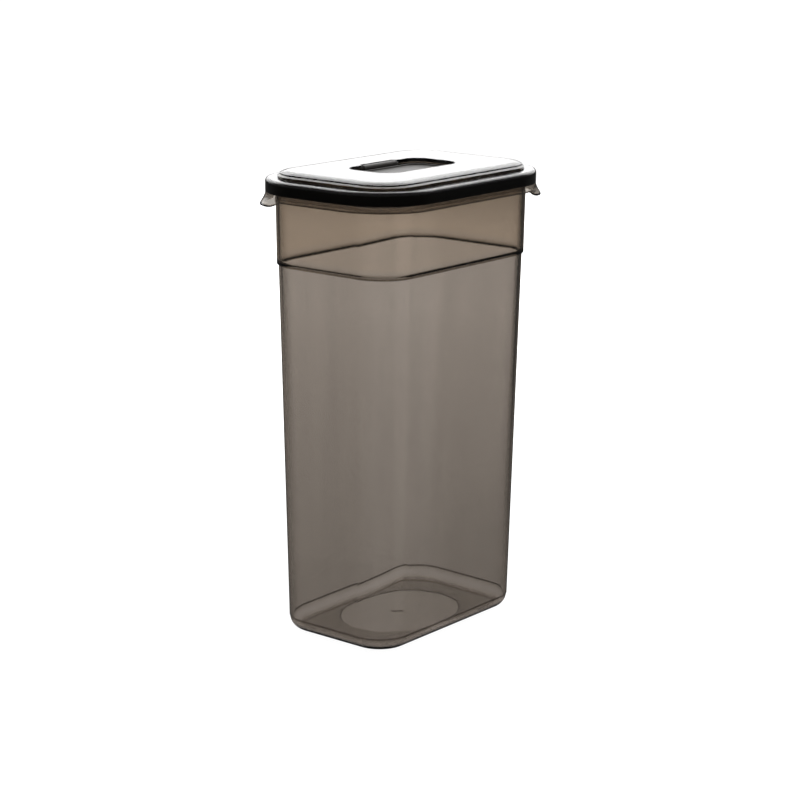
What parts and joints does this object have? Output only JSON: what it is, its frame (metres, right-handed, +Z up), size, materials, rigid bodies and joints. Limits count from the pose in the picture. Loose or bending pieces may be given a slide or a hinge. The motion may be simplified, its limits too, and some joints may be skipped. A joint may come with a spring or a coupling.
{
  "type": "food storage container",
  "caption": "Tall tapered smoke-clear keeper for dry food, with a stepped collar, a peel-off lid with corner pull tabs and a hinged pour flap in a centre recess.",
  "frame": {"origin": "centre of the base, on the surface that the keeper stands on", "axes": "+Z up along the height, X along the long side, +Y towards the side with the flap's hinge"},
  "size_m": [0.1512, 0.1058, 0.26],
  "materials": {
    "tub_smoke": "clear smoke-brown plastic, glossy inside and out",
    "lid_smoke": "clear smoke-brown plastic, polished top",
    "flap_smoke": "smoke-brown plastic, fine satin texture",
    "seal_black": "matt black silicone"
  },
  "bodies": {
    "container": {"container_body": "tub_smoke"},
    "lid": {"lid_frame": "lid_smoke", "lid_panel": "lid_smoke", "rim_seal": "seal_black"},
    "flap": {"pour_flap": "flap_smoke", "flap_seal": "seal_black"}
  },
  "joints": [
    {"name": "lid_lift", "type": "slide", "parent": "container", "child": "lid", "axis": [0, 0, 1], "range_m": [0, 0.06]},
    {"name": "flap_swing", "type": "hinge", "parent": "lid", "child": "flap", "pos_m": [0, 0.01715, 0.2582], "axis": [-1, 0, 0], "range_deg": [0, 110]}
  ]
}
